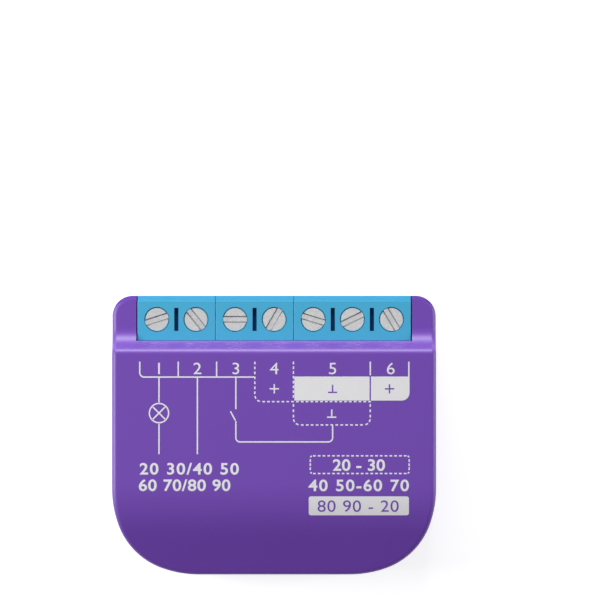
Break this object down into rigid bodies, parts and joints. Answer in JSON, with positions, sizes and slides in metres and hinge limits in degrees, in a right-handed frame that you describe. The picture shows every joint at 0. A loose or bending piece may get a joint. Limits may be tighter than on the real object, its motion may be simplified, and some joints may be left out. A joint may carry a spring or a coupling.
{
  "type": "smart relay module",
  "caption": "Compact in-wall smart relay module: domed plastic case, rising-cage screw terminals in blocks along one end, side push button, relay and radio board inside.",
  "frame": {"origin": "middle of the flat back face", "axes": "+Z out of the front face, +Y towards the screw terminals, +X to the right seen from the front"},
  "size_m": [0.042, 0.0362, 0.016],
  "materials": {
    "case_plastic": "fine moulded texture, satin",
    "block_plastic": "smooth moulded polyamide",
    "screw_steel": "nickel-plated steel",
    "cage_steel": "zinc-plated steel",
    "contact_brass": "tinned brass",
    "copper": "bare copper",
    "copper_wire": "enamelled copper wire",
    "board": "green solder resist over glass fibre",
    "radio_board": "dark solder resist over glass fibre",
    "shield_tin": "tin-plated sheet",
    "chip_black": "moulded epoxy",
    "relay_plastic": "moulded relay cover",
    "bobbin_plastic": "glass-filled moulding",
    "iron": "soft magnetic iron, nickel-plated",
    "ferrite": "sintered ferrite",
    "tape": "polyester tape over winding",
    "can": "shrink sleeve over aluminium can",
    "varistor_blue": "dipped epoxy",
    "resistor_green": "lacquered body",
    "film_cap": "potted box",
    "button_plastic": "polished moulding",
    "plunger_plastic": "moulded nylon",
    "light_chip": "moulded light-emitting chip",
    "clear_plastic": "clear polycarbonate, polished"
  },
  "bodies": {
    "module": {"front_housing": "case_plastic", "back_cover": "case_plastic", "terminal_block_left": "block_plastic", "terminal_block_middle": "block_plastic", "terminal_block_right": "block_plastic", "contact_strips_left": "contact_brass", "contact_strips_middle": "contact_brass", "contact_strips_right": "contact_brass", "main_board": "board", "relay_base": "relay_plastic", "relay_cover": "relay_plastic", "relay_bobbin": "bobbin_plastic", "relay_winding": "copper_wire", "relay_core": "iron", "relay_yoke": "iron", "relay_fixed_contact": "contact_brass", "relay_return_spring": "contact_brass", "relay_coil_pins": "contact_brass", "transformer_core": "ferrite", "transformer_spool": "bobbin_plastic", "transformer_winding": "tape", "filter_capacitors": "can", "varistor": "varistor_blue", "fusible_resistor": "resistor_green", "bridge_rectifier": "chip_black", "power_switch_chip": "chip_black", "choke": "ferrite", "interference_capacitor": "film_cap", "current_shunt": "contact_brass", "metering_chip": "chip_black", "radio_board": "radio_board", "radio_shield": "shield_tin", "radio_chip": "chip_black", "antenna_trace": "copper", "chip_components": "chip_black", "switch_body": "chip_black", "status_light": "light_chip", "light_pipe": "clear_plastic"},
    "screw_1": {"terminal_screw_1": "screw_steel"},
    "cage_1": {"clamp_cage_1": "cage_steel"},
    "screw_2": {"terminal_screw_2": "screw_steel"},
    "cage_2": {"clamp_cage_2": "cage_steel"},
    "screw_3": {"terminal_screw_3": "screw_steel"},
    "cage_3": {"clamp_cage_3": "cage_steel"},
    "screw_4": {"terminal_screw_4": "screw_steel"},
    "cage_4": {"clamp_cage_4": "cage_steel"},
    "screw_5": {"terminal_screw_5": "screw_steel"},
    "cage_5": {"clamp_cage_5": "cage_steel"},
    "screw_6": {"terminal_screw_6": "screw_steel"},
    "cage_6": {"clamp_cage_6": "cage_steel"},
    "screw_7": {"terminal_screw_7": "screw_steel"},
    "cage_7": {"clamp_cage_7": "cage_steel"},
    "armature": {"relay_armature": "iron", "relay_moving_contact": "contact_brass"},
    "button": {"button_cap": "button_plastic"},
    "plunger": {"switch_plunger": "plunger_plastic"}
  },
  "joints": [
    {"name": "screw_1_turn", "type": "hinge", "parent": "module", "child": "screw_1", "pos_m": [-0.01524, 0.01503, 0.0126], "axis": [0, 0, -1], "range_deg": [0, 1800]},
    {"name": "cage_1_rise", "type": "slide", "parent": "module", "child": "cage_1", "axis": [0, 0, 1], "range_m": [0, 0.00225]},
    {"name": "screw_2_turn", "type": "hinge", "parent": "module", "child": "screw_2", "pos_m": [-0.01016, 0.01503, 0.0126], "axis": [0, 0, -1], "range_deg": [0, 1800]},
    {"name": "cage_2_rise", "type": "slide", "parent": "module", "child": "cage_2", "axis": [0, 0, 1], "range_m": [0, 0.00225]},
    {"name": "screw_3_turn", "type": "hinge", "parent": "module", "child": "screw_3", "pos_m": [-0.00508, 0.01503, 0.0126], "axis": [0, 0, -1], "range_deg": [0, 1800]},
    {"name": "cage_3_rise", "type": "slide", "parent": "module", "child": "cage_3", "axis": [0, 0, 1], "range_m": [0, 0.00225]},
    {"name": "screw_4_turn", "type": "hinge", "parent": "module", "child": "screw_4", "pos_m": [0, 0.01503, 0.0126], "axis": [0, 0, -1], "range_deg": [0, 1800]},
    {"name": "cage_4_rise", "type": "slide", "parent": "module", "child": "cage_4", "axis": [0, 0, 1], "range_m": [0, 0.00225]},
    {"name": "screw_5_turn", "type": "hinge", "parent": "module", "child": "screw_5", "pos_m": [0.00508, 0.01503, 0.0126], "axis": [0, 0, -1], "range_deg": [0, 1800]},
    {"name": "cage_5_rise", "type": "slide", "parent": "module", "child": "cage_5", "axis": [0, 0, 1], "range_m": [0, 0.00225]},
    {"name": "screw_6_turn", "type": "hinge", "parent": "module", "child": "screw_6", "pos_m": [0.01016, 0.01503, 0.0126], "axis": [0, 0, -1], "range_deg": [0, 1800]},
    {"name": "cage_6_rise", "type": "slide", "parent": "module", "child": "cage_6", "axis": [0, 0, 1], "range_m": [0, 0.00225]},
    {"name": "screw_7_turn", "type": "hinge", "parent": "module", "child": "screw_7", "pos_m": [0.01524, 0.01503, 0.0126], "axis": [0, 0, -1], "range_deg": [0, 1800]},
    {"name": "cage_7_rise", "type": "slide", "parent": "module", "child": "cage_7", "axis": [0, 0, 1], "range_m": [0, 0.00225]},
    {"name": "armature_pull", "type": "hinge", "parent": "module", "child": "armature", "pos_m": [-0.0126, -0.00501, 0.0121], "axis": [1, 0, 0], "range_deg": [0, 4], "stiffness_Nm_per_rad": 0.004},
    {"name": "button_press", "type": "slide", "parent": "module", "child": "button", "axis": [-1, 0, 0], "range_m": [0, 0.00025], "stiffness_N_per_m": 300},
    {"name": "plunger_press", "type": "slide", "parent": "module", "child": "plunger", "axis": [-1, 0, 0], "range_m": [0, 0.00025]}
  ],
  "couplings": [
    {"joint": "screw_1_turn", "follows": "cage_1_rise", "rad_per_m": 13963},
    {"joint": "screw_2_turn", "follows": "cage_2_rise", "rad_per_m": 13963},
    {"joint": "screw_3_turn", "follows": "cage_3_rise", "rad_per_m": 13963},
    {"joint": "screw_4_turn", "follows": "cage_4_rise", "rad_per_m": 13963},
    {"joint": "screw_5_turn", "follows": "cage_5_rise", "rad_per_m": 13963},
    {"joint": "screw_6_turn", "follows": "cage_6_rise", "rad_per_m": 13963},
    {"joint": "screw_7_turn", "follows": "cage_7_rise", "rad_per_m": 13963},
    {"joint": "plunger_press", "follows": "button_press", "ratio": 1}
  ]
}
